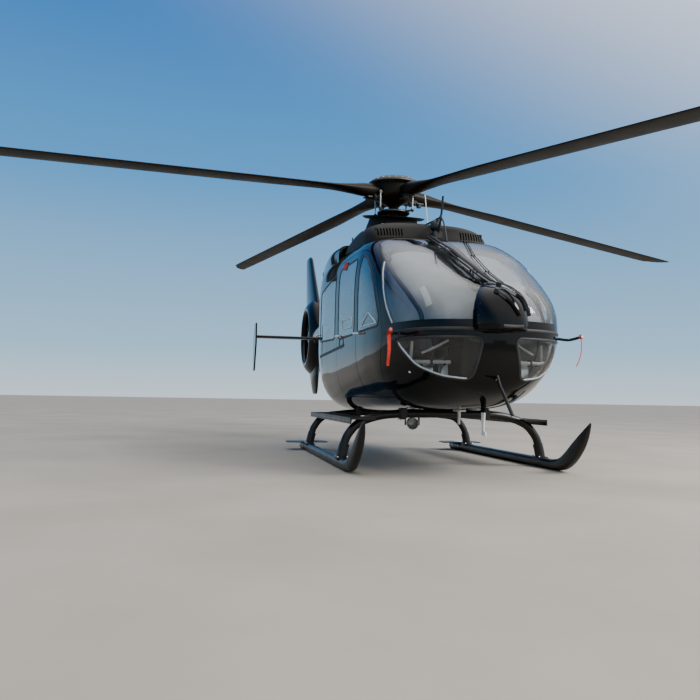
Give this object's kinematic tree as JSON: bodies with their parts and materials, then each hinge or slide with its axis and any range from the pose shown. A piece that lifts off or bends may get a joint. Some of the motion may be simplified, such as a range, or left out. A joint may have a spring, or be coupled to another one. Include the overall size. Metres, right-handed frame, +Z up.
{
  "type": "light twin-engine helicopter",
  "caption": "Light helicopter on skids, with a glazed cabin, hinged and sliding doors, rear clamshell doors, a bearingless main rotor and a shrouded tail fan.",
  "frame": {"origin": "on the ground, under the middle of the helicopter's box with its rotor as parked", "axes": "+Z up; the nose points to -Y and the tail to +Y; +X is the port side, which is on the right when one looks at the nose"},
  "size_m": [9.7516, 11.9092, 3.605],
  "materials": {
    "black_gloss_paint": "gloss",
    "grey_matt_paint": "matt",
    "black_matt_paint": "matt",
    "blade_paint": "satin",
    "cabin_glass": "gloss",
    "seat_cloth": "woven",
    "bare_metal": "satin",
    "engine_steel": "satin",
    "burnt_metal": "heat tinted",
    "lamp": "polished",
    "ribbon": "woven"
  },
  "bodies": {
    "airframe": {"nose_shell": "black_gloss_paint", "belly_shell": "black_gloss_paint", "cabin_frame": "black_gloss_paint", "nose_bay_cover": "black_gloss_paint", "windscreen_post": "black_gloss_paint", "windscreen_starboard": "cabin_glass", "windscreen_port": "cabin_glass", "chin_window_starboard": "cabin_glass", "chin_window_port": "cabin_glass", "rear_window_starboard": "cabin_glass", "rear_window_port": "cabin_glass", "sliding_door_starboard": "black_gloss_paint", "sliding_door_port": "black_gloss_paint", "sliding_door_window_starboard": "cabin_glass", "sliding_door_window_port": "cabin_glass", "cabin_floor": "grey_matt_paint", "pilot_seat_starboard": "seat_cloth", "pilot_seat_port": "seat_cloth", "rear_bench": "seat_cloth", "instrument_console": "black_matt_paint", "gearbox_block": "engine_steel", "engine_starboard": "engine_steel", "engine_port": "engine_steel", "front_cowling": "grey_matt_paint", "engine_cowling": "black_gloss_paint", "exhaust_starboard": "burnt_metal", "exhaust_port": "burnt_metal", "mast_collar": "grey_matt_paint", "tail_cone": "black_gloss_paint", "tail_boom": "black_gloss_paint", "stabiliser": "black_gloss_paint", "tail_fin": "black_gloss_paint", "fan_stator": "black_matt_paint", "front_cross_tube": "black_matt_paint", "rear_cross_tube": "black_matt_paint", "skid_starboard": "black_matt_paint", "skid_port": "black_matt_paint", "step_starboard": "black_matt_paint", "step_port": "black_matt_paint", "belly_lamp": "lamp", "cable_cutter_upper": "black_matt_paint", "cable_cutter_lower": "black_matt_paint", "pitot_starboard": "black_matt_paint", "pitot_port": "black_matt_paint", "pitot_cover_starboard": "ribbon", "pitot_ribbon_port": "ribbon"},
    "main_rotor": {"rotor_mast": "engine_steel", "hub_cap": "grey_matt_paint", "swashplate": "bare_metal", "rotor_blade_1": "blade_paint", "rotor_blade_2": "blade_paint", "rotor_blade_3": "blade_paint", "rotor_blade_4": "blade_paint"},
    "fan": {"tail_fan": "bare_metal"},
    "door_front_starboard": {"front_door_starboard": "black_gloss_paint", "front_door_window_starboard": "cabin_glass"},
    "door_front_port": {"front_door_port": "black_gloss_paint", "front_door_window_port": "cabin_glass"},
    "door_rear_starboard": {"clamshell_door_starboard": "black_gloss_paint"},
    "door_rear_port": {"clamshell_door_port": "black_gloss_paint"}
  },
  "joints": [
    {"name": "main_rotor_spin", "type": "hinge", "parent": "airframe", "child": "main_rotor", "pos_m": [0, -1.098, 3.165], "axis": [0, -0.0384, 0.9993], "continuous": true},
    {"name": "tail_fan_spin", "type": "hinge", "parent": "airframe", "child": "fan", "pos_m": [-0.07, 4.802, 1.825], "axis": [1, 0, 0], "continuous": true},
    {"name": "front_door_starboard_hinge", "type": "hinge", "parent": "airframe", "child": "door_front_starboard", "pos_m": [-0.758, -3.49, 1], "axis": [0, 0, 1], "range_deg": [0, 80]},
    {"name": "front_door_port_hinge", "type": "hinge", "parent": "airframe", "child": "door_front_port", "pos_m": [0.758, -3.49, 1], "axis": [0, 0, -1], "range_deg": [0, 80]},
    {"name": "clamshell_door_starboard_hinge", "type": "hinge", "parent": "airframe", "child": "door_rear_starboard", "pos_m": [-0.695, 0.062, 1.4], "axis": [0, 0, 1], "range_deg": [0, 100]},
    {"name": "clamshell_door_port_hinge", "type": "hinge", "parent": "airframe", "child": "door_rear_port", "pos_m": [0.695, 0.062, 1.4], "axis": [0, 0, -1], "range_deg": [0, 100]}
  ]
}
